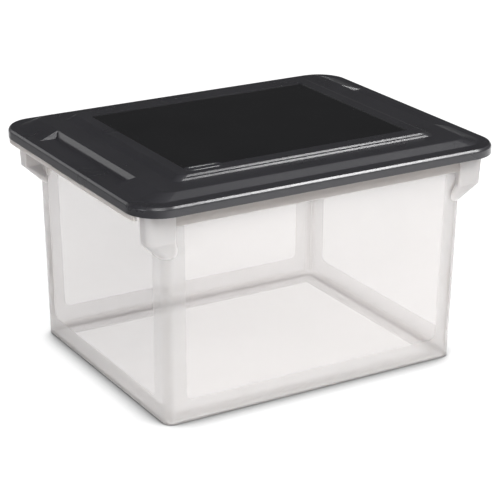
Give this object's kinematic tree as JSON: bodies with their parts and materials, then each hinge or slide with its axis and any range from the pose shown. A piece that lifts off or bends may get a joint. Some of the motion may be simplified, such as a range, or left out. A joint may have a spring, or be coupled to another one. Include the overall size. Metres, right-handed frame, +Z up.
{
  "type": "portable file box",
  "caption": "See-through plastic file box with a lift-off dark lid, corner posts, open hand grips under the rim and moulded rails for hanging folders.",
  "frame": {"origin": "centre of the base, on the surface that the box stands on", "axes": "+X along the long side to the right as seen from the front, +Y to the back, +Z up"},
  "size_m": [0.4622, 0.365, 0.276],
  "materials": {
    "tub_plastic": "frosted translucent frames round clear polished panels",
    "lid_plastic": "fine satin grain, with one polished black field on top"
  },
  "bodies": {
    "tub": {"tub": "tub_plastic"},
    "lid": {"lid": "lid_plastic"}
  },
  "joints": [
    {"name": "lid_lift", "type": "slide", "parent": "tub", "child": "lid", "axis": [0, 0, 1], "range_m": [0, 0.3]}
  ]
}
